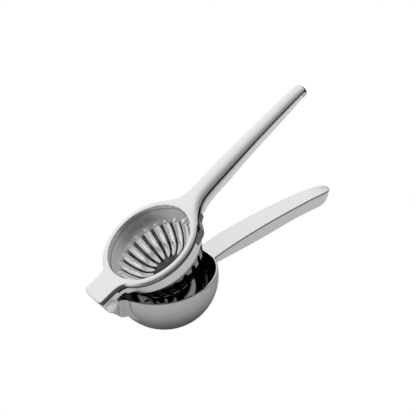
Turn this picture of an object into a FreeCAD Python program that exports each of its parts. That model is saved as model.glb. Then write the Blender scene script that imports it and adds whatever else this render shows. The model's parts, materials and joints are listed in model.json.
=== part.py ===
import FreeCAD
import Part
import math
import os

# Hinged lemon squeezer, millimetres. +X runs from the bowl towards the handle ends,
# +Z is the bowl's axis, the hinge pin lies along Y. Everything is drawn with the arms
# closed and the rim of the bowl at height 0; the last step opens the upper arm to the
# angle of the photo and lifts the whole squeezer so the flat base sits at Z = 0.

V = FreeCAD.Vector

# Bowl
BOWL_R_IN = 36.0
BOWL_WALL = 1.4
BOWL_CENTRE_Z = -2.3
BASE_R = 9.0
SLOT_COUNT = 16
SLOT_W = 2.2
SLOT_R_IN = 11.5
SLOT_R_OUT = 18.0

# Hinge
HINGE_X = -47.7
HINGE_Z = 1.1
OPEN_ANGLE = 24.2
PIN_D = 4.0
PIN_RUN = 0.05
PIN_HEAD_R = 4.3
PIN_HEAD_H = 1.9
KNUCKLE_R = 4.9
KNUCKLE_HW = 8.4
BUSH_WALL = 0.8
EAR_T = 1.5
EAR_OUT = 10.8
EAR_GAP = 0.3
WASHER_R = 4.3
LUG_HW = 10.5
LUG_FRONT = HINGE_X + 5.3
LUG_TOP = 1.9
LUG_BOTTOM = -11.6
SHEET = 1.4

# Press frame, collar and cup
OPENING_R = 31.3
RING_R = 36.0
RING_LOW_ROUND = 1.1
FRAME_TOP = 10.3
FRAME_BOTTOM = 6.3
TAB_BOTTOM = 6.6
CUP_R_IN = 31.0
CUP_WALL = 1.0
CUP_FLOOR = -23.0
FLANGE_T = 1.0
FLANGE_R = 33.6
COLLAR_R = 33.6
COLLAR_T = 1.4
COLLAR_BOTTOM = -2.0
RIB_COUNT = 24
RIM_GAP = 0.4

# Handle walls
SHELL_T = 1.3
CHANNEL_T = 1.2
SEAM_INSET = 0.5
SEAM_GAP = 0.05


# Small helpers
def lerp(table, x):
    """Value at x from a table of (x, value) stations."""
    if x <= table[0][0]:
        return table[0][1]
    for (xa, va), (xb, vb) in zip(table[:-1], table[1:]):
        if x <= xb:
            return va + (vb - va) * (x - xa) / (xb - xa)
    return table[-1][1]


def spline(points):
    curve = Part.BSplineCurve()
    curve.interpolate([V(*p) for p in points])
    return curve.toShape()


def poly_face(points):
    pts = [V(*p) for p in points]
    return Part.Face(Part.makePolygon(pts + [pts[0]]))


def prism_y(points_xz, half_width):
    """Side profile in XZ pulled both ways along Y."""
    face = poly_face([(x, -half_width, z) for x, z in points_xz])
    return face.extrude(V(0, 2 * half_width, 0))


def prism_z(points_xy, z0, z1):
    face = poly_face([(x, y, z0) for x, y in points_xy])
    return face.extrude(V(0, 0, z1 - z0))


def mirrored(points_xy):
    """Plan outline from its +Y half, first and last points on or near the X axis."""
    other = [(x, -y) for x, y in reversed(points_xy) if abs(y) > 1e-6]
    return list(points_xy) + other


def revolve_z(points_rz):
    face = poly_face([(r, 0, z) for r, z in points_rz])
    return face.revolve(V(0, 0, 0), V(0, 0, 1), 360)


def arc_rz(radius, centre_z, a0, a1, steps):
    """Points of an arc in the RZ half plane, angles measured from +R upwards."""
    out = []
    for i in range(steps + 1):
        a = math.radians(a0 + (a1 - a0) * i / steps)
        out.append((radius * math.cos(a), centre_z + radius * math.sin(a)))
    return out


def cyl_y(radius, y0, y1):
    return Part.makeCylinder(radius, y1 - y0, V(HINGE_X, y0, HINGE_Z), V(0, 1, 0))


def cyl_z(radius, z0, z1):
    return Part.makeCylinder(radius, z1 - z0, V(0, 0, z0), V(0, 0, 1))


def smooth_curve(table, x0, x1, steps):
    """Smooth (x, value) points through a table, by a spline on its stations."""
    curve = Part.BSplineCurve()
    curve.interpolate([V(x, v, 0) for x, v in table])
    first, last = curve.FirstParameter, curve.LastParameter
    out = []
    for i in range(steps + 1):
        x = x0 + (x1 - x0) * i / steps
        lo, hi = first, last
        for _ in range(40):
            mid = (lo + hi) / 2
            if curve.value(mid).x < x:
                lo = mid
            else:
                hi = mid
        out.append((x, curve.value((lo + hi) / 2).y))
    return out


def sphere_cap_depth(radius, r):
    return math.sqrt(radius * radius - r * r)


# Bowl
bowl_r_out = BOWL_R_IN + BOWL_WALL
base_z = BOWL_CENTRE_Z - sphere_cap_depth(bowl_r_out, BASE_R)
floor_z = base_z + BOWL_WALL


def revolved_bowl_body(radius, flat_z, top_z, lip):
    """Solid of revolution bounded by a dome cut flat at flat_z and a short cylinder."""
    r_flat = math.sqrt(radius * radius - (flat_z - BOWL_CENTRE_Z) ** 2)
    a = math.degrees(math.asin((flat_z - BOWL_CENTRE_Z) / radius))
    axis_bottom = V(0, 0, flat_z)
    flat_edge = V(r_flat, 0, flat_z)
    mid_a = math.radians(a / 2)
    mid = V(radius * math.cos(mid_a), 0, BOWL_CENTRE_Z + radius * math.sin(mid_a))
    equator = V(radius, 0, BOWL_CENTRE_Z)
    edges = [Part.makeLine(axis_bottom, flat_edge), Part.Arc(flat_edge, mid, equator).toShape()]
    if lip:
        low = V(radius, 0, top_z - lip)
        bend = V(radius - lip * (1 - math.cos(math.pi / 4)), 0, top_z - lip * (1 - math.sin(math.pi / 4)))
        high = V(radius - lip, 0, top_z)
        edges += [Part.makeLine(equator, low), Part.Arc(low, bend, high).toShape()]
        last = high
    else:
        last = V(radius, 0, top_z)
        edges.append(Part.makeLine(equator, last))
    edges.append(Part.makeLine(last, V(0, 0, top_z)))
    edges.append(Part.makeLine(V(0, 0, top_z), axis_bottom))
    return Part.Face(Part.Wire(edges)).revolve(V(0, 0, 0), V(0, 0, 1), 360)


bowl_outer = revolved_bowl_body(bowl_r_out, base_z, 0.0, 0.5)
bowl_plain = revolved_bowl_body(bowl_r_out, base_z, 0.0, 0.0)
bowl_inner = revolved_bowl_body(BOWL_R_IN, floor_z, 1.0, 0.0)
bowl = bowl_outer.cut(bowl_inner)
slots = []
for i in range(SLOT_COUNT):
    mid_r = (SLOT_R_IN + SLOT_R_OUT) / 2
    straight = SLOT_R_OUT - SLOT_R_IN - SLOT_W
    bar = Part.makeBox(straight, SLOT_W, 20, V(mid_r - straight / 2, -SLOT_W / 2, base_z - 1))
    for end in (-1, 1):
        at = V(mid_r + end * straight / 2, 0, base_z - 1)
        bar = bar.fuse(Part.makeCylinder(SLOT_W / 2, 20, at, V(0, 0, 1)))
    bar.rotate(V(0, 0, 0), V(0, 0, 1), 360.0 * i / SLOT_COUNT)
    slots.append(bar)
bowl = bowl.cut(slots)

# Hinge lug on the bowl
lug_side = [
    (LUG_FRONT, LUG_BOTTOM),
    (LUG_FRONT, LUG_TOP),
    (LUG_FRONT + 3.0, LUG_TOP - 0.2),
    (LUG_FRONT + 6.4, 0.0),
    (-30.0, 0.0),
    (-24.0, -20.0),
    (LUG_FRONT + 9.5, LUG_BOTTOM - 5.0),
    (LUG_FRONT + 5.4, LUG_BOTTOM - 1.4),
]
lug_flare = mirrored([
    (LUG_FRONT - 0.01, 0.0),
    (LUG_FRONT - 0.01, LUG_HW - 1.0),
    (LUG_FRONT + 0.3, LUG_HW - 0.3),
    (LUG_FRONT + 1.0, LUG_HW),
    (LUG_FRONT + 5.0, LUG_HW + 0.1),
    (LUG_FRONT + 8.0, LUG_HW + 1.2),
    (LUG_FRONT + 11.5, LUG_HW + 4.0),
    (-20.0, LUG_HW + 4.0),
    (-20.0, 0.0),
])
lug = prism_y(lug_side, 20).common(prism_z(lug_flare, -40, 10))
inner_side = [
    (LUG_FRONT + SHEET, -60.0),
    (LUG_FRONT + SHEET, LUG_TOP - 1.8),
    (LUG_FRONT + 5.0, -SHEET),
    (-20.0, -SHEET),
    (-20.0, -60.0),
]
inner_plan = mirrored([
    (LUG_FRONT + SHEET, 0.0),
    (LUG_FRONT + SHEET, LUG_HW - SHEET),
    (LUG_FRONT + 5.0, LUG_HW - SHEET),
    (LUG_FRONT + 8.0, LUG_HW + 0.8 - SHEET),
    (LUG_FRONT + 11.5, LUG_HW + 3.4 - SHEET),
    (-10.0, LUG_HW + 3.4 - SHEET),
    (-10.0, 0.0),
])
lug = lug.cut(prism_y(inner_side, 20).common(prism_z(inner_plan, -50, 10)))
tip_angle = math.atan2(LUG_BOTTOM - HINGE_Z, LUG_FRONT - HINGE_X)
reach = math.hypot(LUG_BOTTOM - HINGE_Z, LUG_FRONT - HINGE_X)
tangent = tip_angle - math.acos(KNUCKLE_R / reach)
web_side = [
    (LUG_FRONT + 0.4, HINGE_Z + KNUCKLE_R - 4.2),
    (HINGE_X, HINGE_Z),
    (HINGE_X + KNUCKLE_R * math.cos(tangent), HINGE_Z + KNUCKLE_R * math.sin(tangent)),
    (LUG_FRONT, LUG_BOTTOM),
    (LUG_FRONT + 0.4, LUG_BOTTOM),
]
knuckle = cyl_y(KNUCKLE_R, -KNUCKLE_HW, KNUCKLE_HW).fuse(prism_y(web_side, KNUCKLE_HW))
lug = lug.fuse(knuckle).removeSplitter()
lug = lug.cut(bowl_plain)
bush_r = PIN_D / 2 + PIN_RUN + BUSH_WALL
lug = lug.cut(cyl_y(bush_r, -20, 20))
hinge_lug = max(lug.Solids, key=lambda s: s.Volume)
hinge_bush = cyl_y(bush_r, -KNUCKLE_HW, KNUCKLE_HW).cut(cyl_y(PIN_D / 2 + PIN_RUN, -20, 20))

# Lower handle
LOWER_TOP = [
    (34.0, -0.2), (37.0, 0.35), (42.0, 1.5), (50.0, 3.1), (60.0, 4.6), (71.0, 5.9), (88.0, 7.3),
    (106.0, 8.2), (120.0, 8.5), (130.0, 8.3), (138.5, 7.5), (143.5, 6.7),
]
LOWER_BOTTOM = [
    (37.0, -5.4), (57.0, -4.3), (75.0, -3.4), (92.0, -2.2), (110.0, -1.1), (121.0, -1.2),
    (129.5, -1.6),
]
LOWER_END = [(133.8, -1.2), (136.8, 0.4), (139.5, 2.8), (141.5, 5.0), (142.6, 6.0)]
LOWER_HALF = [
    (34.0, 9.0), (50.0, 9.2), (60.0, 9.0), (71.0, 8.7), (88.0, 8.1), (106.0, 7.4), (120.0, 6.7),
    (130.0, 6.1), (135.5, 5.5), (139.0, 4.6), (141.3, 3.3), (142.6, 1.7),
]
PLATE_T = 1.4
LOWER_TIP = 143.0
GAP_AT_BOWL = 1.2

top_pts = smooth_curve(LOWER_TOP, 34.0, LOWER_TIP, 60)
bottom_pts = smooth_curve(LOWER_BOTTOM, 37.0, 129.5, 40) + LOWER_END


def half_outline(shift):
    """+Y side of the lower handle's plan, pulled in by shift all round."""
    pts = [(34.0, 0.0)]
    for x, h in smooth_curve(LOWER_HALF[:8], 34.0, 130.0, 40):
        pts.append((x, h - shift))
    for x, h in LOWER_HALF[8:]:
        pts.append((x - shift * (x - 130.0) / 12.0, max(h - shift, 0.4)))
    pts.append((LOWER_TIP - shift, 0.0))
    return pts


plate_side = top_pts + [(x, z - PLATE_T) for x, z in reversed(top_pts)]
plate = prism_y(plate_side, 20).common(prism_z(mirrored(half_outline(0.0)), -20, 20))
plate = plate.cut(bowl_plain)
lower_handle_top = max(plate.Solids, key=lambda s: s.Volume)

under_plate = [(x, z - PLATE_T) for x, z in top_pts]
channel_side = bottom_pts + list(reversed([p for p in under_plate if 37.0 < p[0] < 142.4]))
channel = prism_y(channel_side, 20).common(prism_z(mirrored(half_outline(SEAM_INSET)), -20, 20))
hollow_bottom = [(x, z + CHANNEL_T) for x, z in bottom_pts if x < 131.0] + [
    (135.8, 1.4), (138.3, 3.4), (139.9, 5.2)]
hollow_side = hollow_bottom + [(139.9, 20.0), (30.0, 20.0), (30.0, hollow_bottom[0][1])]
hollow = prism_y(hollow_side, 20).common(prism_z(mirrored(half_outline(SEAM_INSET + CHANNEL_T)), -20, 20))
channel = channel.cut(hollow)
channel = channel.cut(Part.makeSphere(bowl_r_out + GAP_AT_BOWL, V(0, 0, BOWL_CENTRE_Z)))
channel = channel.cut(cyl_z(bowl_r_out + GAP_AT_BOWL, BOWL_CENTRE_Z, 10))
lower_handle_channel = max(channel.Solids, key=lambda s: s.Volume)

BRACKET_T = 1.5
BRACKET_HW = 6.0
BRACKET_END = 60.0
strap_top = [(x, z - PLATE_T) for x, z in top_pts if x <= BRACKET_END]
strap_side = strap_top + [(x, z - BRACKET_T) for x, z in reversed(strap_top)]
flange_low = -(5.4 - CHANNEL_T - 0.4)
strap = prism_y(strap_side, BRACKET_HW)
flange = Part.makeBox(20, 2 * BRACKET_HW, -flange_low - 0.9, V(28, -BRACKET_HW, flange_low))
flange = flange.common(Part.makeSphere(bowl_r_out + BRACKET_T, V(0, 0, BOWL_CENTRE_Z)))
lower_handle_bracket = strap.fuse(flange).cut(bowl_plain).removeSplitter()
lower_handle_bracket = max(lower_handle_bracket.Solids, key=lambda s: s.Volume)

# Press frame
ring_profile = [
    (OPENING_R, FRAME_BOTTOM), (OPENING_R, FRAME_TOP - 0.55), (OPENING_R + 0.15, FRAME_TOP - 0.2),
    (OPENING_R + 0.55, FRAME_TOP),
]
ring_profile += arc_rz(2.3, FRAME_TOP - 2.3, 90, 8, 8)
ring_profile = ring_profile[:4] + [(RING_R - 2.3 + r, z) for r, z in ring_profile[4:]]
low_round = arc_rz(RING_LOW_ROUND, FRAME_BOTTOM + RING_LOW_ROUND, 0, -90, 6)
ring_profile += [(RING_R - RING_LOW_ROUND + r, z) for r, z in low_round]
ring = revolve_z(ring_profile)

TAB_FLANK = [
    (-51.0, 10.9), (-47.0, 10.85), (-43.0, 10.8), (-39.8, 10.9), (-37.2, 11.3), (-35.2, 12.0),
    (-33.6, 13.0), (-31.6, 15.0), (-29.6, 17.1), (-28.0, 18.6),
]
tab_flank = smooth_curve(TAB_FLANK, -51.0, -28.0, 16)
tab_plan = mirrored([(-53.2, 0.0), (-53.1, 8.0), (-52.6, 9.5), (-51.9, 10.5)] + tab_flank + [(-28.0, 0.0)])
tab = prism_z(tab_plan, TAB_BOTTOM, FRAME_TOP)
top_rim = [e for e in tab.Edges if abs(e.BoundBox.ZMin - FRAME_TOP) < 1e-6 and e.BoundBox.ZLength < 1e-6
           and e.BoundBox.XMax < -30.0]
tab = tab.makeFillet(0.7, top_rim)
low_rim = [e for e in tab.Edges if abs(e.BoundBox.ZMax - TAB_BOTTOM) < 1e-6 and e.BoundBox.XMax < -30.0]
tab = tab.makeFillet(0.5, low_rim)

# Stations of the upper handle: x, half width, seam height, crest height, squareness
UPPER = [
    (29.0, 21.8, 6.4, 10.30, 5.0),
    (32.0, 18.2, 6.4, 10.45, 4.6),
    (35.5, 14.2, 6.4, 10.95, 4.0),
    (39.5, 10.9, 6.4, 11.90, 3.4),
    (44.5, 8.9, 6.7, 13.00, 3.0),
    (51.0, 8.1, 7.5, 13.90, 2.8),
    (61.0, 7.7, 8.7, 14.70, 2.7),
    (80.0, 7.2, 10.5, 15.70, 2.6),
    (100.0, 6.5, 12.0, 16.35, 2.6),
    (120.0, 6.0, 13.0, 16.80, 2.6),
    (138.0, 5.5, 13.5, 16.90, 2.6),
    (147.0, 5.25, 13.6, 16.60, 2.6),
]


def dome_wire(x, half, low, crest, n, steps=14):
    pts = []
    for i in range(steps + 1):
        a = math.pi * i / steps
        c, s = math.cos(a), math.sin(a)
        y = half * math.copysign(abs(c) ** (2.0 / n), c)
        pts.append((x, y, low + (crest - low) * abs(s) ** (2.0 / n)))
    edge = spline(pts)
    return Part.Wire([edge, Part.makeLine(V(*pts[-1]), V(*pts[0]))])


def evened(table, x0, x1, steps):
    """The same handle at evenly spaced stations, so the loft through them runs without waves."""
    columns = []
    for k in range(1, len(table[0])):
        columns.append(smooth_curve([(row[0], row[k]) for row in table], x0, x1, steps))
    return [(row[0][0],) + tuple(v for _, v in row) for row in zip(*columns)]


STEM_START = 44.5
HANDLE_END = 147.0
stem = evened(UPPER[4:], STEM_START, HANDLE_END, 12)
stations = UPPER[:4] + stem
shell_outer = Part.makeLoft([dome_wire(*s) for s in stations], True, False)
inner = [(x, h - SHELL_T, low - 2.0, crest - SHELL_T, n) for x, h, low, crest, n in stem]
shell_inner = Part.makeLoft([dome_wire(*s) for s in inner], True, False)

# The closed end of the handle, which also covers the end of the channel below it:
# x, half width, lowest and highest point
END = [
    (146.0, 5.28, 9.45, 16.67), (147.8, 5.2, 9.55, 16.5), (149.3, 4.8, 9.85, 16.1),
    (150.3, 3.9, 10.5, 15.4), (150.9, 2.6, 11.5, 14.5), (151.15, 1.2, 12.4, 13.7),
]


def pill_wire(x, half, low, high, n=3.0, steps=24):
    pts = []
    for i in range(steps):
        a = 2 * math.pi * i / steps
        c, s = math.cos(a), math.sin(a)
        y = half * math.copysign(abs(c) ** (2.0 / n), c)
        z = (low + high) / 2 + (high - low) / 2 * math.copysign(abs(s) ** (2.0 / n), s)
        pts.append(V(x, y, z))
    curve = Part.BSplineCurve()
    curve.interpolate(pts, True)
    return Part.Wire([curve.toShape()])


end_cap = Part.makeLoft([pill_wire(*s) for s in END], True, False)
frame = ring.fuse([tab, shell_outer.cut(shell_inner), end_cap])
frame = frame.cut(cyl_z(OPENING_R, -5, 30))
press_frame = frame.removeSplitter()
press_frame = max(press_frame.Solids, key=lambda s: s.Volume)

# Upper handle channel
UPPER_UNDER = [
    (39.0, 9.7, 9.3, 6.3, 0.4),
    (44.5, 8.4, 7.8, 6.7, 1.3),
    (51.0, 7.6, 6.9, 7.5, 2.3),
    (61.0, 7.2, 6.6, 8.7, 3.3),
    (80.0, 6.7, 6.1, 10.5, 4.9),
    (100.0, 6.0, 5.6, 12.0, 6.4),
    (120.0, 5.5, 5.1, 13.0, 7.7),
    (138.0, 5.0, 4.6, 13.5, 8.9),
    (145.9, 4.75, 4.35, 13.6, 9.45),
]


def trough_wire(x, top_half, low_half, top, low, inset):
    t = top_half - inset
    b = low_half - inset
    z = low + inset
    pts = [V(x, t, top), V(x, b, z + 1.5), V(x, b - 1.2, z)]
    pts += [V(x, -p.y, p.z) for p in reversed(pts)]
    return Part.makePolygon(pts + [pts[0]])


trough = Part.makeLoft(
    [trough_wire(x, t, b, top - SEAM_GAP, low, 0.0) for x, t, b, top, low in UPPER_UNDER], True, False)
hollow_stations = [UPPER_UNDER[0]] + UPPER_UNDER[1:-1] + [(144.7, 4.8, 4.4, 13.6, 9.4)]
cavity = Part.makeLoft(
    [trough_wire(x, t, b, top + 0.6, low, CHANNEL_T) for x, t, b, top, low in hollow_stations], True, False)
trough = trough.cut(cavity)
upper_handle_channel = max(trough.Solids, key=lambda s: s.Volume)

# Bridge under the handle root
BRIDGE_R = 36.9
BRIDGE_HALF_ANGLE = 52.0
BRIDGE_TAPER_FROM = 36.0
BRIDGE_END_R = COLLAR_R + 0.6
BRIDGE_BOTTOM = RIM_GAP
band_plan = [(0.0, 0.0)]
for i in range(-26, 27):
    angle = BRIDGE_HALF_ANGLE * i / 26.0
    along = max(0.0, (abs(angle) - BRIDGE_TAPER_FROM) / (BRIDGE_HALF_ANGLE - BRIDGE_TAPER_FROM))
    r = BRIDGE_R + (BRIDGE_END_R - BRIDGE_R) * along * along * (3 - 2 * along)
    band_plan.append((r * math.cos(math.radians(angle)), r * math.sin(math.radians(angle))))
arc_band = prism_z(band_plan, BRIDGE_BOTTOM, FRAME_BOTTOM).cut(cyl_z(COLLAR_R, -10, 20))
root_side = [(33.0, BRIDGE_BOTTOM), (39.0, BRIDGE_BOTTOM), (39.0, 6.35), (33.0, 6.35)]
root_plan = mirrored([(30.0, 0.0), (30.0, 14.0), (34.5, 13.2), (37.0, 10.8), (39.0, 9.6), (39.0, 0.0)])
root_block = prism_y(root_side, 20).common(prism_z(root_plan, -10, 20))
bridge = arc_band.fuse(root_block).cut(cyl_z(COLLAR_R, -10, 20)).cut(press_frame).cut(upper_handle_channel)
handle_bridge = max(bridge.removeSplitter().Solids, key=lambda s: s.Volume)

# Press cup
flange_bottom = FRAME_BOTTOM - FLANGE_T


def cup_body(radius, floor, top):
    r_flat = math.sqrt(radius * radius - floor * floor)
    a = math.asin(floor / radius)
    edge = V(r_flat, 0, floor)
    mid = V(radius * math.cos(a / 2), 0, radius * math.sin(a / 2))
    equator = V(radius, 0, 0)
    edges = [
        Part.makeLine(V(0, 0, floor), edge), Part.Arc(edge, mid, equator).toShape(),
        Part.makeLine(equator, V(radius, 0, top)), Part.makeLine(V(radius, 0, top), V(0, 0, top)),
        Part.makeLine(V(0, 0, top), V(0, 0, floor)),
    ]
    return Part.Face(Part.Wire(edges)).revolve(V(0, 0, 0), V(0, 0, 1), 360)


cup_r_out = CUP_R_IN + CUP_WALL
cup_solid = cup_body(cup_r_out, CUP_FLOOR - CUP_WALL, FRAME_BOTTOM)
cup_solid = cup_solid.fuse(cyl_z(FLANGE_R, flange_bottom, FRAME_BOTTOM))
cup_void = cup_body(CUP_R_IN, CUP_FLOOR, FRAME_BOTTOM + 1)
# Stations of one pressed rib: distance from the cup axis, height, radius of the rib.
# It swells from a rounded nose near the collar and sinks into the floor near the centre.
RIB = [
    (30.75, -7.2, 3.0), (29.6, -10.6, 2.95), (27.9, -14.2, 2.8), (25.6, -17.7, 2.55), (22.8, -20.9, 2.25),
    (19.8, -22.7, 1.95), (16.8, -23.4, 1.65), (14.0, -23.75, 1.3),
]
RIB_NOSE = (2.35, 2.0, 1.3)
GROOVE_LAST = 6


def tilted_ring(r, z, radius, direction):
    """Circle about a direction in the XZ plane, always started on the +Y side."""
    across = V(-direction.z, 0, direction.x).normalize() * radius
    side = V(0, radius, 0)
    at = V(r, 0, z)
    return Part.Wire([
        Part.Arc(at + side, at + across, at - side).toShape(),
        Part.Arc(at - side, at - across, at + side).toShape(),
    ])


def rib_solid(inset, count):
    """One rib, or with inset the groove behind it, over the first count stations."""
    stations = [(r, z, radius - inset) for r, z, radius in RIB[:count]]
    r0, z0, radius0 = stations[0]
    first = []
    for s in RIB_NOSE:
        first.append((r0 + 0.04 * s, z0 + s * radius0 / 2.5, radius0 * math.sqrt(1 - (s / 2.5) ** 2)))
    r1, z1, radius1 = stations[-1]
    last = [(r1 - 1.0, z1 - 0.05, 0.7 * radius1), (r1 - 1.5, z1 - 0.08, 0.4 * radius1)]
    stations = first + stations + last
    wires = []
    for i, (r, z, radius) in enumerate(stations):
        a = stations[max(i - 1, 0)]
        b = stations[min(i + 1, len(stations) - 1)]
        wires.append(tilted_ring(r, z, radius, V(b[0] - a[0], 0, b[1] - a[1])))
    return Part.makeLoft(wires, True, False)


rib_outer = rib_solid(0.0, len(RIB))
rib_inner = rib_solid(CUP_WALL, GROOVE_LAST)
rib_part = rib_outer.common(cup_solid)
ribs = []
grooves = []
for i in range(RIB_COUNT):
    turn = 360.0 * i / RIB_COUNT + 90.0
    for source, group in ((rib_part, ribs), (rib_inner, grooves)):
        copy = source.copy()
        copy.rotate(V(0, 0, 0), V(0, 0, 1), turn)
        group.append(copy)
press_cup = cup_solid.cut(cup_void).fuse(ribs).cut(grooves)
press_cup = max(press_cup.Solids, key=lambda s: s.Volume)

# Collar with the two ears
collar = cyl_z(COLLAR_R, COLLAR_BOTTOM, flange_bottom).cut(cyl_z(COLLAR_R - COLLAR_T, -10, 20))
heel = 4.6
ear_side = [
    (-28.0, flange_bottom), (-39.0, flange_bottom), (-39.0, TAB_BOTTOM), (HINGE_X - heel, TAB_BOTTOM),
    (HINGE_X - heel, HINGE_Z - heel + 2.4),
    (HINGE_X - heel + 0.7, HINGE_Z - heel + 0.7),
    (HINGE_X - heel + 2.4, HINGE_Z - heel),
]
for i in range(9):
    a = math.radians(-90 + 90 * i / 8)
    ear_side.append((HINGE_X + 5.0 * math.cos(a), HINGE_Z + heel * math.sin(a)))
ear_side += [(HINGE_X + 5.0, LUG_TOP + 0.75), (-35.6, LUG_TOP + 0.75)]
ear_side += [(-33.6, RIM_GAP), (-28.0, RIM_GAP)]
ear_plan = [
    (-54.0, EAR_OUT - EAR_T), (-36.0, EAR_OUT - EAR_T), (-28.0, EAR_OUT - EAR_T), (-28.0, 18.2),
    (-30.5, 15.1), (-33.0, 12.9), (-36.0, 11.4), (-39.0, EAR_OUT + 0.1), (-41.0, EAR_OUT), (-54.0, EAR_OUT),
]
ear = prism_y(ear_side, 20).common(prism_z(ear_plan, -20, 20))
ear = ear.cut(cyl_z(COLLAR_R - COLLAR_T, -20, 20))
other_ear = ear.mirror(V(0, 0, 0), V(0, 1, 0))
cup_collar = collar.fuse([ear, other_ear]).cut(cyl_y(PIN_D / 2, -20, 20))
cup_collar = cup_collar.cut(ring).removeSplitter()
cup_collar = max(cup_collar.Solids, key=lambda s: s.Volume)

# Pin, its cap and the washers
TAIL_D = 2.8
TAIL_L = 1.4


def domed_head(side):
    """Low button head on the outside of an ear, side is -1 or +1 along Y."""
    rim = 0.7
    rise = PIN_HEAD_H - rim
    radius = (PIN_HEAD_R ** 2 + rise ** 2) / (2 * rise)
    y_face = side * EAR_OUT
    disc = Part.makeCylinder(PIN_HEAD_R, PIN_HEAD_H, V(HINGE_X, y_face, HINGE_Z), V(0, side, 0))
    ball = Part.makeSphere(radius, V(HINGE_X, y_face + side * (PIN_HEAD_H - radius), HINGE_Z))
    return disc.common(ball)


shank = cyl_y(PIN_D / 2, -EAR_OUT, EAR_OUT)
tail = cyl_y(TAIL_D / 2, EAR_OUT, EAR_OUT + TAIL_L - 0.3)
hinge_pin = shank.fuse([domed_head(-1), tail]).removeSplitter()
hinge_pin_cap = domed_head(1).cut(cyl_y(TAIL_D / 2, EAR_OUT - 1, EAR_OUT + TAIL_L - 0.3))

ear_in = EAR_OUT - EAR_T
washers = []
for y0, y1 in ((-ear_in, -KNUCKLE_HW - EAR_GAP), (KNUCKLE_HW + EAR_GAP, ear_in)):
    washers.append(cyl_y(WASHER_R, y0, y1).cut(cyl_y(PIN_D / 2, -20, 20)))
spring_washers = Part.makeCompound(washers)

# Place and write
LOWER_ARM = {
    "bowl": bowl,
    "hinge_lug": hinge_lug,
    "hinge_bush": hinge_bush,
    "lower_handle_top": lower_handle_top,
    "lower_handle_channel": lower_handle_channel,
    "lower_handle_bracket": lower_handle_bracket,
}
UPPER_ARM = {
    "press_frame": press_frame,
    "upper_handle_channel": upper_handle_channel,
    "handle_bridge": handle_bridge,
    "press_cup": press_cup,
    "cup_collar": cup_collar,
    "hinge_pin": hinge_pin,
    "hinge_pin_cap": hinge_pin_cap,
    "spring_washers": spring_washers,
}

os.makedirs("parts", exist_ok=True)
lift = V(0, 0, -base_z)
for name, shape in LOWER_ARM.items():
    placed = shape.copy()
    placed.translate(lift)
    placed.exportStep("parts/" + name + ".step")
for name, shape in UPPER_ARM.items():
    placed = shape.copy()
    placed.rotate(V(HINGE_X, 0, HINGE_Z), V(0, -1, 0), OPEN_ANGLE)
    placed.translate(lift)
    placed.exportStep("parts/" + name + ".step")
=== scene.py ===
# %% [markdown]
# # A hinged lemon squeezer, dressed for a photograph
#
# Two pressed steel arms turn on one pin. The lower arm carries the bowl, the upper arm
# carries the ribbed cup that pushes half a lemon into it. Every visible piece is a pressing
# or a turned pin, and the CAD parts already have those shapes, with their wall thickness and
# rounded edges. They could be modelled again here, but then two models would have to agree.
# So the parts are loaded as they are and stay where they are, and the cells below give each
# of them the surface that a polisher would give it, and paint light and shade onto several.

# %% Load the imported squeezer
import json
import math

import bmesh
import bpy
from mathutils import Matrix, Vector

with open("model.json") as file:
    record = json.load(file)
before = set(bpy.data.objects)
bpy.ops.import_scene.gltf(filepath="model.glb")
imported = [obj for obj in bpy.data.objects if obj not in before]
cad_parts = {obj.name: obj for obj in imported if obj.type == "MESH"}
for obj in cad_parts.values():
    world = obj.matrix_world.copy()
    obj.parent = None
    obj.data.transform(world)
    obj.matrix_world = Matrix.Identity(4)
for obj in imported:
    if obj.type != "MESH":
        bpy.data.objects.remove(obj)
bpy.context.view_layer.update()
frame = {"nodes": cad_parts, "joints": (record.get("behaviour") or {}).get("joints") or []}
nodes = frame["nodes"]
scene = bpy.context.scene
print("parts:", sorted(nodes))

# %% [markdown]
# ## Two places to work in
#
# It is easiest to think of both arms closed, with the rim of the bowl at height 0, in
# millimetres, as the press tools see them. The lower arm is only lifted from there. The upper
# arm is also swung open about the hinge pin, and so is the centre of its cup. Moving the
# parts back for the work would be a risk, because they have to stay where they are. A
# rotation matrix lets the cells ask where a point would lie without moving anything.

# %% Closed drawing to open squeezer
MM = 0.001
HINGE_Z = 1.1  # mm above the rim of the bowl
OPEN_ANGLE = math.radians(24.2)
HINGE_AXIS = (0, -1, 0)
SWING = Matrix.Rotation(OPEN_ANGLE, 3, HINGE_AXIS)
hinge = Vector(frame["joints"][0]["pos_m"])
LIFT = hinge.z - HINGE_Z * MM
cup_centre = hinge + SWING @ (Vector((0, 0, LIFT)) - hinge)
print("rim height", round(LIFT / MM, 2), "mm")
print("cup centre", [round(v / MM, 2) for v in cup_centre], "mm")

# %% [markdown]
# ## Small tools for wiring nodes
#
# A material is a net of nodes. They could be placed by hand in the shader editor, but then
# nobody could read how they were set. Written out one by one, they fill pages. These small
# helpers add one node each, feed it with numbers or with other nodes, and hand back what it
# puts out, so that the cells below read like sums.

# %% Node helpers: sums and smooth steps
def feed(tree, value, socket):
    """Set a socket to a number, or link the output of another node to it."""
    if isinstance(value, float):
        socket.default_value = value
    else:
        tree.links.new(value, socket)


def math_node(tree, operation, *values):
    node = tree.nodes.new("ShaderNodeMath")
    node.operation = operation
    for socket, value in zip(node.inputs, values):
        feed(tree, value, socket)
    return node.outputs[0]


def ramp_node(tree, value, low, high, at_low, at_high, shape="SMOOTHSTEP"):
    """Go from at_low to at_high while the value goes from low to high."""
    node = tree.nodes.new("ShaderNodeMapRange")
    node.interpolation_type = shape
    settings = {"From Min": low, "From Max": high, "To Min": at_low, "To Max": at_high}
    for key, number in settings.items():
        node.inputs[key].default_value = number
    tree.links.new(value, node.inputs["Value"])
    return node.outputs["Result"]


print("helpers for sums and steps are ready")

# %% Node helpers: mixes
def mix_values(tree, share, first, second):
    node = tree.nodes.new("ShaderNodeMix")
    for key, value in {"Factor": share, "A": first, "B": second}.items():
        feed(tree, value, node.inputs[key])
    return node.outputs["Result"]


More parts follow.
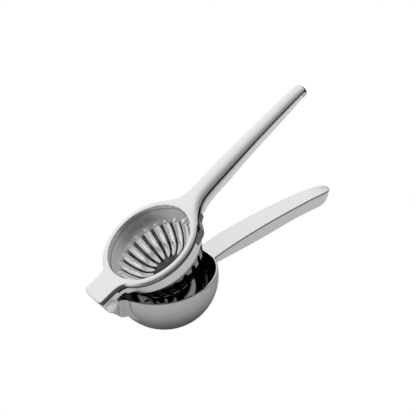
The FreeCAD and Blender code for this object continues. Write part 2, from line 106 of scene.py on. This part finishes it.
def mix_shaders(tree, share, first, second):
    node = tree.nodes.new("ShaderNodeMixShader")
    for socket, value in zip(node.inputs, (share, first, second)):
        tree.links.new(value, socket)
    return node.outputs[0]


def new_group(name, vectors_in, numbers_in, numbers_out):
    """An empty node group with its sockets, and its entry and exit nodes."""
    group = bpy.data.node_groups.new(name, "ShaderNodeTree")
    for kind, way, names in (
        ("NodeSocketVector", "INPUT", vectors_in),
        ("NodeSocketFloat", "INPUT", numbers_in),
        ("NodeSocketFloat", "OUTPUT", numbers_out),
    ):
        for socket in names:
            group.interface.new_socket(socket, in_out=way, socket_type=kind)
    print("group", name, "takes", vectors_in + numbers_in, "and gives", numbers_out)
    return group, group.nodes.new("NodeGroupInput"), group.nodes.new("NodeGroupOutput")


print("helpers for mixes and groups are ready")

# %% [markdown]
# ## What polished steel looks like
#
# Steel is a metal, so its colour is the colour of its reflections, and its finish is how
# blurred they are. A polishing wheel leaves fine lines in one direction and a faint cloud of
# duller and brighter patches. An image of scratches would need UV maps and would repeat, so
# the marks are noise: one that is squeezed into lines, and a soft one for the cloud. One node
# group makes both, and every steel below uses it with its own direction and strength.

# %% Node group: polishing marks
LINE_DETAIL, CLOUD_DETAIL = 3.0, 2.0
LINE_SCALE, CLOUD_SCALE = 1.0, 45.0
MEAN_OF_BOTH = 1.0


def noise(tree, place, scale, detail):
    node = tree.nodes.new("ShaderNodeTexNoise")
    node.inputs["Scale"].default_value = scale
    node.inputs["Detail"].default_value = detail
    tree.links.new(place, node.inputs["Vector"])
    return node.outputs["Fac"]


def polish_marks():
    """Roughness with lines and cloud in it, and the lines alone as a height."""
    group, given, result = new_group(
        "polishing marks",
        vectors_in=["Position", "Stretch"],
        numbers_in=["Roughness", "Spread"],
        numbers_out=["Roughness", "Height"],
    )
    squeezed = group.nodes.new("ShaderNodeVectorMath")
    squeezed.operation = "MULTIPLY"
    group.links.new(given.outputs["Position"], squeezed.inputs[0])
    group.links.new(given.outputs["Stretch"], squeezed.inputs[1])
    lines = noise(group, squeezed.outputs[0], LINE_SCALE, LINE_DETAIL)
    cloud = noise(group, given.outputs["Position"], CLOUD_SCALE, CLOUD_DETAIL)
    centred = math_node(group, "SUBTRACT", math_node(group, "ADD", lines, cloud), MEAN_OF_BOTH)
    spread, level = given.outputs["Spread"], given.outputs["Roughness"]
    rough = math_node(group, "MULTIPLY_ADD", centred, spread, level)
    group.links.new(rough, result.inputs["Roughness"])
    group.links.new(lines, result.inputs["Height"])
    return group


marks = polish_marks()

# %% [markdown]
# ## The relief of the pressed cup
#
# The ribs of the cup are drawn into one sheet: each stands up inside and leaves a groove
# outside. The crests get a painted highlight and the valleys a painted shade, so the grey
# follows the relief. It could be painted on the faces, but the sheet's faces are long thin
# triangles and the paint would show them. Instead a node group measures, for every point,
# how far it rises above the plain dome that the ribs stand on. It turns the point back to the
# closed drawing and compares its distance from the cup's centre with the dome's radius.

# %% Node group: relief of the pressed cup
CUP_R, CUP_WALL, CUP_FLOOR_Z = 31.0, 1.0, -23.0  # mm


def cup_relief():
    """Rise above the plain dome inside, depth under its outer skin, and height, in mm."""
    group, given, result = new_group(
        "cup relief",
        vectors_in=["Position"],
        numbers_in=[],
        numbers_out=["Rise", "Groove", "Height"],
    )
    away = group.nodes.new("ShaderNodeVectorMath")
    away.operation = "SUBTRACT"
    away.inputs[1].default_value = cup_centre
    group.links.new(given.outputs["Position"], away.inputs[0])
    closed = group.nodes.new("ShaderNodeMapping")
    closed.inputs["Rotation"].default_value = (0, OPEN_ANGLE, 0)
    closed.inputs["Scale"].default_value = (1 / MM, 1 / MM, 1 / MM)
    group.links.new(away.outputs[0], closed.inputs["Vector"])
    reach = group.nodes.new("ShaderNodeVectorMath")
    reach.operation = "LENGTH"
    group.links.new(closed.outputs["Vector"], reach.inputs[0])
    split = group.nodes.new("ShaderNodeSeparateXYZ")
    group.links.new(closed.outputs["Vector"], split.inputs[0])
    height = split.outputs["Z"]
    from_side = math_node(group, "SUBTRACT", CUP_R, reach.outputs["Value"])
    from_floor = math_node(group, "SUBTRACT", height, CUP_FLOOR_Z)
    rise = math_node(group, "MINIMUM", from_side, from_floor)
    group.links.new(rise, result.inputs["Rise"])
    group.links.new(math_node(group, "ADD", rise, CUP_WALL), result.inputs["Groove"])
    group.links.new(height, result.inputs["Height"])
    return group


relief = cup_relief()

# %% [markdown]
# ## One steel
#
# Every part gets a steel of its own grey and its own blur. A helper builds one from those,
# from how much the marks spread the blur, and from the direction of the lines. The lines of
# the upper arm have to follow its handle, so its pattern is turned by the angle that the arm
# is open. The lines also feed a very low bump, which breaks up the edges of reflections.

# %% One steel
LINE_DEPTH = 0.0002  # metres
LINE_BUMP, NO_BUMP = 0.02, 0.0
ALONG = (60, 1500, 1500)  # marks per metre along X, Y and Z
ROUND = (700, 700, 700)


def grey(level):
    return (level, level, level)


def principled(mat):
    return mat.node_tree.nodes["Principled BSDF"]


def steel(name, colour, blur, spread, stretch, tilt=0.0, bump=LINE_BUMP):
    mat = bpy.data.materials.new(name)
    mat.use_nodes = True
    tree = mat.node_tree
    shader = principled(mat)
    shader.inputs["Base Color"].default_value = (*colour, 1)
    shader.inputs["Metallic"].default_value = 1.0
    where = tree.nodes.new("ShaderNodeTexCoord")
    turn = tree.nodes.new("ShaderNodeMapping")
    turn.inputs["Rotation"].default_value = (0, tilt, 0)
    tree.links.new(where.outputs["Object"], turn.inputs["Vector"])
    wheel = tree.nodes.new("ShaderNodeGroup")
    wheel.node_tree = marks
    tree.links.new(turn.outputs["Vector"], wheel.inputs["Position"])
    for key, value in {"Stretch": stretch, "Roughness": blur, "Spread": spread}.items():
        wheel.inputs[key].default_value = value
    tree.links.new(wheel.outputs["Roughness"], shader.inputs["Roughness"])
    lines = tree.nodes.new("ShaderNodeBump")
    lines.inputs["Strength"].default_value = bump
    lines.inputs["Distance"].default_value = LINE_DEPTH
    tree.links.new(wheel.outputs["Height"], lines.inputs["Height"])
    tree.links.new(lines.outputs["Normal"], shader.inputs["Normal"])
    print("steel:", name)
    return mat


dressed = set()


def dress(name, *steels):
    """Put the steels into a part's material slots. Its faces start on the first one."""
    mesh = nodes[name].data
    mesh.materials.clear()
    for mat in steels:
        mesh.materials.append(mat)
    dressed.add(name)
    print(name, "has", len(steels), "finish" if len(steels) == 1 else "finishes")


print("lines along a handle", ALONG, "and on round parts", ROUND)

# %% [markdown]
# ## Two finishes on one sheet
#
# A pressed part is one sheet, but its sides don't look alike: the inside of the bowl is
# buffed bright for easy rinsing, its outside is left satin, and each side gets a painted
# shade of its own. A second object laid just over the first would flicker and clip. A mesh
# may hold several materials, with a slot number on each face, so the faces are sorted
# instead. A face belongs to the inside when it looks towards the middle of the dome, and to
# the ring's opening when it lies close to its wall.

# %% Sorting faces in the closed drawing
OUTSIDE, INSIDE, FLOOR = 0, 1, 2
UNSWING = Matrix.Rotation(-OPEN_ANGLE, 3, HINGE_AXIS)


def closed_place(point, upper):
    """Where a point of the squeezer lies in the closed drawing, in millimetres."""
    if upper:
        point = UNSWING @ (point - hinge) + hinge
    return (point - Vector((0, 0, LIFT))) / MM


def closed_normal(normal, upper):
    return UNSWING @ normal if upper else normal


def split_sides(name, centre_z, upper, floor_r=0.0):
    """Slot 0 outside the dome, slot 1 inside it, slot 2 for the floor within floor_r."""
    counts = [0, 0, 0]
    for face in nodes[name].data.polygons:
        at = closed_place(face.center, upper)
        outward = Vector((at.x, at.y, at.z - centre_z))
        side = INSIDE if closed_normal(face.normal, upper).dot(outward) < 0 else OUTSIDE
        if side == INSIDE and math.hypot(at.x, at.y) < floor_r:
            side = FLOOR
        face.material_index = side
        counts[side] += 1
    print(name, "outside, inside and floor faces", counts)


def split_opening(name, opening_r):
    """Slot 1 for the faces round an opening in the upper arm."""
    count = 0
    for face in nodes[name].data.polygons:
        at = closed_place(face.center, True)
        if math.hypot(at.x, at.y) < opening_r:
            face.material_index = INSIDE
            count += 1
    print(name, "faces round the opening", count)


print("the upper arm is turned back by", round(math.degrees(OPEN_ANGLE), 1), "degrees")

# %% [markdown]
# ## The press frame
#
# Ring, hinge tab and handle top are one polished pressing. Its face is bright, and its edge
# is rolled over and looks much darker, because it mirrors the far side of a room. A plain
# white studio has no such far side. A darker room would spoil the other parts, so the edge
# itself is given a painted reflection: a darker grey, chosen by how far the surface leans
# away from the face. On the ring it is dark all the way down, on the handle only along the
# shoulder, with a lighter grey painted on the flank below it, and the two are mixed where
# the ring turns into the handle.

# %% Shading by lean
def lean_along(tree, axis):
    """1 where the surface faces along the axis, 0 side on to it, -1 facing away."""
    turned = tree.nodes.new("ShaderNodeTexCoord")
    lean = tree.nodes.new("ShaderNodeVectorMath")
    lean.operation = "DOT_PRODUCT"
    lean.inputs[1].default_value = axis
    tree.links.new(turned.outputs["Normal"], lean.inputs[0])
    return lean.outputs["Value"]


def shade_by_lean(mat, axis, low, high, at_low, at_high):
    tree = mat.node_tree
    shade = ramp_node(tree, lean_along(tree, axis), low, high, at_low, at_high)
    tree.links.new(shade, principled(mat).inputs["Base Color"])


UP_CLOSED = SWING @ Vector((0, 0, 1))
print("up, for the upper arm:", [round(v, 2) for v in UP_CLOSED])

# %% Press frame
# Painted reflection: the ring's rolled edge and the handle's shoulder get a darker grey, the
# handle's flank a lighter one.
FACE_GREY = 0.78
RING_EDGE_PAINTED_SHADE = {"low": 0.05, "high": 0.75, "at_low": 0.10, "at_high": FACE_GREY}
SHOULDER_PAINTED_SHADE = {"low": 0.30, "high": 0.95, "at_low": 0.42, "at_high": FACE_GREY}
FLANK_PAINTED_LIGHT = {"low": 0.12, "high": 0.34, "at_low": 0.66, "at_high": 0.0}
HANDLE_FROM, HANDLE_TO = 0.026, 0.036  # metres along X, where ring turns into handle
OPENING_R, SEAM = 31.3, 0.1  # mm


def shade_frame(mat):
    tree = mat.node_tree
    lean = lean_along(tree, UP_CLOSED)
    place = tree.nodes.new("ShaderNodeTexCoord")
    split = tree.nodes.new("ShaderNodeSeparateXYZ")
    tree.links.new(place.outputs["Object"], split.inputs[0])
    shoulder = ramp_node(tree, lean, **SHOULDER_PAINTED_SHADE)
    flank = ramp_node(tree, lean, **FLANK_PAINTED_LIGHT)
    handle = math_node(tree, "MAXIMUM", shoulder, flank)
    out_on_handle = ramp_node(tree, split.outputs["X"], HANDLE_FROM, HANDLE_TO, 0.0, 1.0)
    shade = mix_values(tree, out_on_handle, ramp_node(tree, lean, **RING_EDGE_PAINTED_SHADE), handle)
    tree.links.new(shade, principled(mat).inputs["Base Color"])


frame_steel = steel("polished steel, upper arm", grey(0.76), 0.15, 0.05, ALONG, OPEN_ANGLE)
ring_inside = steel("polished steel, ring opening", grey(0.80), 0.22, 0.05, ROUND)
shade_frame(frame_steel)
dress("press_frame", frame_steel, ring_inside)
split_opening("press_frame", OPENING_R + SEAM)

# %% [markdown]
# ## The handles
# Under each polished top sits a folded channel. Its sides are only brushed along the handle,
# so they are duller and their lines can be seen. The upper arm's channel is given a lighter
# grey than the lower arm's, painted light and shade on one brushed steel. Four steels share
# the same direction of lines, and only the upper arm's are turned. The top of the lower
# handle gets a painted reflection: bright above and greyer along its rounded edge, as on
# the frame.

# %% Lower handle top and both channels
# Painted reflection: the top of the lower handle turns greyer along its rounded edge.
TOP_EDGE_PAINTED_SHADE = {"low": 0.20, "high": 0.60, "at_low": 0.24, "at_high": 0.76}
top_steel = steel("polished steel, lower arm", grey(0.76), 0.17, 0.05, ALONG)
# Painted light and shade: the two channels are one brushed steel in a lighter and a darker
# grey.
channel_up = steel("brushed channel, upper arm", grey(0.88), 0.20, 0.06, ALONG, OPEN_ANGLE)
channel_low = steel("brushed channel, lower arm", grey(0.72), 0.22, 0.06, ALONG)
shade_by_lean(top_steel, (0, 0, 1), **TOP_EDGE_PAINTED_SHADE)
dress("lower_handle_top", top_steel)
dress("lower_handle_channel", channel_low)
dress("upper_handle_channel", channel_up)

# %% [markdown]
# ## The bowl
#
# The outside of the bowl is satin, with a painted shade that darkens it towards its
# underside, in place of the shadow that it stands in and would mirror. The inside is a mirror
# with a dark grey painted in, a painted shade for the cup above it, which is all it sees.
# Both are round, so their marks have no direction. The painted grey follows the lean of the
# surface along an axis that is tipped a little towards the lug, because the underside is
# darkest on the side of the handle.

# %% Bowl
BOWL_CENTRE_Z = -2.3  # mm
BOWL_AXIS = (-0.35, 0, 0.94)
# Painted shade: the outside's grey falls from 0.58 to 0.30 as the surface leans away from the
# axis.
UNDERSIDE_PAINTED_SHADE = {"low": -0.90, "high": 0.20, "at_low": 0.30, "at_high": 0.58}
bowl_outside_painted_shade = steel("satin steel with painted shade, bowl outside", grey(0.52), 0.24, 0.06, ROUND)
# Painted shade: the mirror inside the bowl is given a dark grey of 0.20.
bowl_inside_painted_shade = steel("mirror steel with painted shade, bowl inside", grey(0.20), 0.05, 0.02, ROUND, bump=NO_BUMP)
shade_by_lean(bowl_outside_painted_shade, BOWL_AXIS, **UNDERSIDE_PAINTED_SHADE)
dress("bowl", bowl_outside_painted_shade, bowl_inside_painted_shade)
split_sides("bowl", BOWL_CENTRE_Z, upper=False)

# %% [markdown]
# ## The press cup
#
# The cup is a mirror with painted shade in its valleys, painted highlights on its ribs and a
# plainer, duller wall above the ribs, and its flat floor is painted dark, a painted shade.
# The relief group measures the rise of each point. Inside, the crests stand up from the dome,
# so the painted highlight goes with a high rise. Outside, the same ribs are grooves, so the
# measure is taken from the outer skin and the depth of a groove gets painted shade.

# %% Grey by relief
RIB_BLUR, WALL_BLUR = 0.10, 0.30
WALL_FROM, WALL_TO = -9.0, -5.5  # mm


def shade_by_relief(mat, measure, low, high, valley, crest, wall):
    """Painted shade at valley to highlight at crest while the measure goes low to high, wall
    above.
    """
    tree = mat.node_tree
    where = tree.nodes.new("ShaderNodeTexCoord")
    cup = tree.nodes.new("ShaderNodeGroup")
    cup.node_tree = relief
    tree.links.new(where.outputs["Object"], cup.inputs["Position"])
    height = cup.outputs["Height"]
    ribbed = ramp_node(tree, cup.outputs[measure], low, high, 0.0, 1.0)
    valley_or_wall = ramp_node(tree, height, WALL_FROM, WALL_TO, valley, wall)
    shade = mix_values(tree, ribbed, valley_or_wall, crest)
    blur = ramp_node(tree, height, WALL_FROM, WALL_TO, RIB_BLUR, WALL_BLUR)
    tree.links.new(shade, principled(mat).inputs["Base Color"])
    tree.links.new(blur, principled(mat).inputs["Roughness"])


print("the wall of the cup begins between", WALL_FROM, "and", WALL_TO, "mm")

# %% Press cup
CUP_FLOOR_R = 12.5  # mm
# Painted light: bright crests and dark valleys inside, dark grooves outside.
RIBS_INSIDE_PAINTED_LIGHT = {"low": 0.0, "high": 0.6, "valley": 0.10, "crest": 1.00, "wall": 0.90}
RIBS_OUTSIDE_PAINTED_SHADE = {"low": 0.1, "high": 0.9, "valley": 0.32, "crest": 0.05, "wall": 0.26}
cup_outside = steel("mirror steel, cup outside", grey(0.40), 0.08, 0.03, ROUND, bump=NO_BUMP)
cup_inside = steel(
    "mirror steel, cup inside", (0.84, 0.84, 0.85), 0.12, 0.04, ROUND, bump=NO_BUMP
)
# Painted shade: the cup's flat floor is given a dark grey of 0.16.
cup_floor_painted_shade = steel("mirror steel with painted shade, cup floor", grey(0.16), 0.08, 0.03, ROUND, bump=NO_BUMP)
shade_by_relief(cup_inside, "Rise", **RIBS_INSIDE_PAINTED_LIGHT)
shade_by_relief(cup_outside, "Groove", **RIBS_OUTSIDE_PAINTED_SHADE)
dress("press_cup", cup_outside, cup_inside, cup_floor_painted_shade)
split_sides("press_cup", 0.0, upper=True, floor_r=CUP_FLOOR_R)

# %% [markdown]
# ## Lug, collar and bridge
#
# The folded parts round the hinge are tumbled smooth and not polished by hand, so they are
# greyer and more blurred than the frame, with marks in no direction. The bridge is the most
# blurred, and as it sits in the shade of the frame, its grey is painted nearly black, a
# painted shade. The bracket inside the channel is folded from the same sheet as the lug. One
# material can serve both, and a change to it then reaches both.

# %% Lug, bracket, collar and bridge
lug_steel = steel("satin steel, lug", grey(0.54), 0.22, 0.06, ROUND)
collar_steel = steel("polished steel, collar and ears", grey(0.74), 0.18, 0.06, ROUND)
# Painted shade: the bridge is given a grey of 0.17 for the shade of the frame.
bridge_steel_painted_shade = steel("steel with painted shade, bridge", grey(0.17), 0.26, 0.06, ROUND)
dress("hinge_lug", lug_steel)
dress("lower_handle_bracket", lug_steel)
dress("cup_collar", collar_steel)
dress("handle_bridge", bridge_steel_painted_shade)

# %% [markdown]
# ## The pin and what turns on it
#
# The heads of the pin are turned and nickelled, and in a white room they look nearly white.
# A full metal would mirror the dark side of the room here, so the pin's steel is only half
# metallic, which keeps its paleness from every side. The washers are dark spring steel. The
# bush is bronze, a bearing metal, and its colour is the only warm one on the squeezer.

# %% Pin, cap, washers and bush
HALF_METAL = 0.5
pin_steel = steel("nickelled steel, pin heads", grey(0.95), 0.34, 0.04, ROUND)
principled(pin_steel).inputs["Metallic"].default_value = HALF_METAL
spring_steel = steel("spring steel", grey(0.50), 0.26, 0.06, ROUND)
bronze = steel("bush bronze", (0.66, 0.50, 0.30), 0.34, 0.10, ROUND)
dress("hinge_pin", pin_steel)
dress("hinge_pin_cap", pin_steel)
dress("spring_washers", spring_steel)
dress("hinge_bush", bronze)
print("parts still bare:", sorted(set(nodes) - dressed))

# %% [markdown]
# ## The table
#
# The squeezer stands on a plain pale table that the camera sees as pure white. It could be
# lit until it turns white, but that much light would bleach the steel. So the camera's own
# rays meet a white glow, and all other rays meet a matt surface, which the steel mirrors.
# Close under the bowl the glow gives way to the matt surface, and that keeps the faint
# shadow which shows where the bowl stands. The matt grey is also painted darker towards the
# bowl, a painted shadow that reaches further out and is seen in the steel. Seen from below,
# the table is clear.

# %% Table top
HALF_TABLE = 0.5  # metres, as are the places in the next three lines
SHADOW_CENTRE = (0.006, 0.0105, 0)
# Painted shadow: the matt grey falls from 0.90 to 0.40 towards the middle of the shadow.
PAINTED_SHADOW = {"low": 0.015, "high": 0.060, "at_low": 0.40, "at_high": 0.90}
GLOW = {"low": 0.016, "high": 0.027, "at_low": 0.0, "at_high": 1.0, "shape": "LINEAR"}
WHITE = (1, 1, 1, 1)


def table_mesh():
    bm = bmesh.new()
    bmesh.ops.create_grid(bm, x_segments=1, y_segments=1, size=HALF_TABLE)
    mesh = bpy.data.meshes.new("table top")
    bm.to_mesh(mesh)
    bm.free()
    return mesh


def from_shadow(tree):
    """How far a point lies from the middle of the shadow, in metres."""
    where = tree.nodes.new("ShaderNodeTexCoord")
    centre = tree.nodes.new("ShaderNodeMapping")
    centre.inputs["Location"].default_value = [-v for v in SHADOW_CENTRE]
    tree.links.new(where.outputs["Object"], centre.inputs["Vector"])
    far = tree.nodes.new("ShaderNodeVectorMath")
    far.operation = "LENGTH"
    tree.links.new(centre.outputs["Vector"], far.inputs[0])
    return far.outputs["Value"]


floor = bpy.data.objects.new("table top", table_mesh())
scene.collection.objects.link(floor)
print("table", [round(v, 2) for v in floor.dimensions], "m")

# %% Pale table
def pale_table():
    mat = bpy.data.materials.new("pale table")
    mat.use_nodes = True
    tree = mat.node_tree
    tree.nodes.clear()
    far = from_shadow(tree)
    matt = tree.nodes.new("ShaderNodeBsdfDiffuse")
    # Painted shadow: the matt grey darkens towards the bowl.
    tree.links.new(ramp_node(tree, far, **PAINTED_SHADOW), matt.inputs["Color"])
    glow = tree.nodes.new("ShaderNodeEmission")
    glow.inputs["Color"].default_value = WHITE
    path = tree.nodes.new("ShaderNodeLightPath")
    share = math_node(
        tree, "MULTIPLY", path.outputs["Is Camera Ray"], ramp_node(tree, far, **GLOW)
    )
    pale = mix_shaders(tree, share, matt.outputs[0], glow.outputs[0])
    clear = tree.nodes.new("ShaderNodeBsdfTransparent")
    turned = tree.nodes.new("ShaderNodeNewGeometry")
    surface = mix_shaders(tree, turned.outputs["Backfacing"], pale, clear.outputs[0])
    out = tree.nodes.new("ShaderNodeOutputMaterial")
    tree.links.new(surface, out.inputs["Surface"])
    return mat


floor.data.materials.append(pale_table())
print("table material:", floor.data.materials[0].name)

# %% [markdown]
# ## The room
#
# Shiny steel shows the room, so the room is the real lamp here. The camera sees plain white.
# The metal sees a soft studio: a bright wall behind, a darker one on the camera's side, a
# dark doorway at the handles' end, a calm ceiling, and a dark line where the table ends. A
# photographed room would bring its own furniture into the steel. Each of these is one smooth
# step along one axis of the direction looked in, and together they make the room.

# %% Room levels
FRONT_WALL, BACK_WALL, CEILING, DARK_EDGE, DARK_DOOR = 0.38, 1.04, 0.80, 0.08, 0.05
SOFT_LIGHT = 0.55
ROOM = {
    "depth": ("Y", -0.75, 0.85, FRONT_WALL, BACK_WALL),
    "doorway": ("X", 0.55, 0.78, 1.0, DARK_DOOR),
    "over_door": ("Z", 0.28, 0.58, 0.0, 1.0),
    "ceiling": ("Z", 0.55, 0.98, 1.0, CEILING),
    "edge_of_table": ("Z", 0.12, 0.55, DARK_EDGE, 1.0),
    "behind": ("Y", -0.25, 0.15, 0.0, 1.0),
}


def room_level(tree):
    """Brightness of the room in every direction."""
    where = tree.nodes.new("ShaderNodeTexCoord")
    split = tree.nodes.new("ShaderNodeSeparateXYZ")
    tree.links.new(where.outputs["Generated"], split.inputs[0])
    part = {}
    for name, (axis, *levels) in ROOM.items():
        part[name] = ramp_node(tree, split.outputs[axis], *levels)
    edge = math_node(tree, "MAXIMUM", part["edge_of_table"], part["behind"])
    door = math_node(tree, "MAXIMUM", part["doorway"], part["over_door"])
    walls = math_node(tree, "MULTIPLY", part["depth"], door)
    covered = math_node(tree, "MULTIPLY", walls, part["ceiling"])
    return math_node(tree, "MULTIPLY", covered, edge)


print("room from", FRONT_WALL, "in front to", BACK_WALL, "behind")

# %% World
def background(tree, level, strength=1.0):
    node = tree.nodes.new("ShaderNodeBackground")
    if level == WHITE:
        node.inputs["Color"].default_value = WHITE
    else:
        tree.links.new(level, node.inputs["Color"])
    node.inputs["Strength"].default_value = strength
    return node.outputs[0]


def studio_world():
    """Plain white for the camera, the room for reflections, a soft light for matt things."""
    world = bpy.data.worlds.new("studio")
    world.use_nodes = True
    tree = world.node_tree
    tree.nodes.clear()
    path = tree.nodes.new("ShaderNodeLightPath")
    glossy, through = path.outputs["Is Glossy Ray"], path.outputs["Is Transmission Ray"]
    shiny = math_node(tree, "MAXIMUM", glossy, through)
    soft, room = background(tree, WHITE, SOFT_LIGHT), background(tree, room_level(tree))
    lit = mix_shaders(tree, shiny, soft, room)
    seen = mix_shaders(tree, path.outputs["Is Camera Ray"], lit, background(tree, WHITE))
    out = tree.nodes.new("ShaderNodeOutputWorld")
    tree.links.new(seen, out.inputs["Surface"])
    return world


scene.world = studio_world()
scene.view_settings.view_transform = "Standard"
print("world:", scene.world.name)

# %% [markdown]
# ## One lamp
#
# The room alone lights everything evenly, and the squeezer would seem to float. One wide
# softbox overhead gives the table its faint shadow. A small lamp would cut a hard one. The
# steel must not show the lamp as a white square, so it is hidden from glossy rays.

# %% Overhead softbox
def softbox(name, place, target, width, height, watts):
    lamp = bpy.data.lights.new(name, "AREA")
    lamp.shape = "RECTANGLE"
    lamp.size = width
    lamp.size_y = height
    lamp.energy = watts
    holder = bpy.data.objects.new(name, lamp)
    scene.collection.objects.link(holder)
    holder.location = place
    holder.visible_glossy = False
    aim = Vector(target) - Vector(place)
    holder.rotation_euler = aim.to_track_quat("-Z", "Y").to_euler()
    print(name, "at", place, "with", watts, "W")


softbox(
    "overhead softbox", place=(0.0, 0.15, 1.4), target=(0.03, 0, 0.03),
    width=1.0, height=1.0, watts=4.5,
)

# %% [markdown]
# ## The camera
#
# The photograph was taken from above the front left with a long lens, and the camera was
# turned a little about its own axis. Blender can aim a camera with a constraint, but that
# can't hold the small roll, so the three axes are worked out and written into the camera's
# matrix. The numbers come from matching the round rim, the hinge and both handle ends.

# %% Camera axes
AZIMUTH, ELEVATION, ROLL = math.radians(-29.85), math.radians(32.05), math.radians(-7.45)
DISTANCE = 1.0  # metres
AIM_RIGHT, AIM_UP = 0.03026, 0.04402  # metres beside the middle of the bowl's rim
back = Vector((
    math.sin(AZIMUTH) * math.cos(ELEVATION),
    -math.cos(AZIMUTH) * math.cos(ELEVATION),
    math.sin(ELEVATION),
))
side = Vector((math.cos(AZIMUTH), math.sin(AZIMUTH), 0))
above = back.cross(side)
right = side * math.cos(ROLL) + above * math.sin(ROLL)
up = above * math.cos(ROLL) - side * math.sin(ROLL)
eye = back * DISTANCE + right * AIM_RIGHT + up * AIM_UP + Vector((0, 0, LIFT))
print("camera at", [round(v, 3) for v in eye])

# %% Camera
FRAME_PX, FOCAL_PX, SENSOR_MM = 416, 1460, 36.0
NEAREST = 0.01
lens = bpy.data.cameras.new("camera")
lens.sensor_width = SENSOR_MM
lens.lens = FOCAL_PX / FRAME_PX * SENSOR_MM
lens.clip_start = NEAREST
camera = bpy.data.objects.new("camera", lens)
scene.collection.objects.link(camera)
camera.matrix_world = Matrix((
    (right.x, up.x, back.x, eye.x),
    (right.y, up.y, back.y, eye.y),
    (right.z, up.z, back.z, eye.z),
    (0, 0, 0, 1),
))
scene.camera = camera
print("lens", round(lens.lens, 1), "mm")

# %% [markdown]
# ## Finish
#
# Surfaces must not change a size. The last line brings the scene up to date.

# %% Finish
bpy.context.view_layer.update()
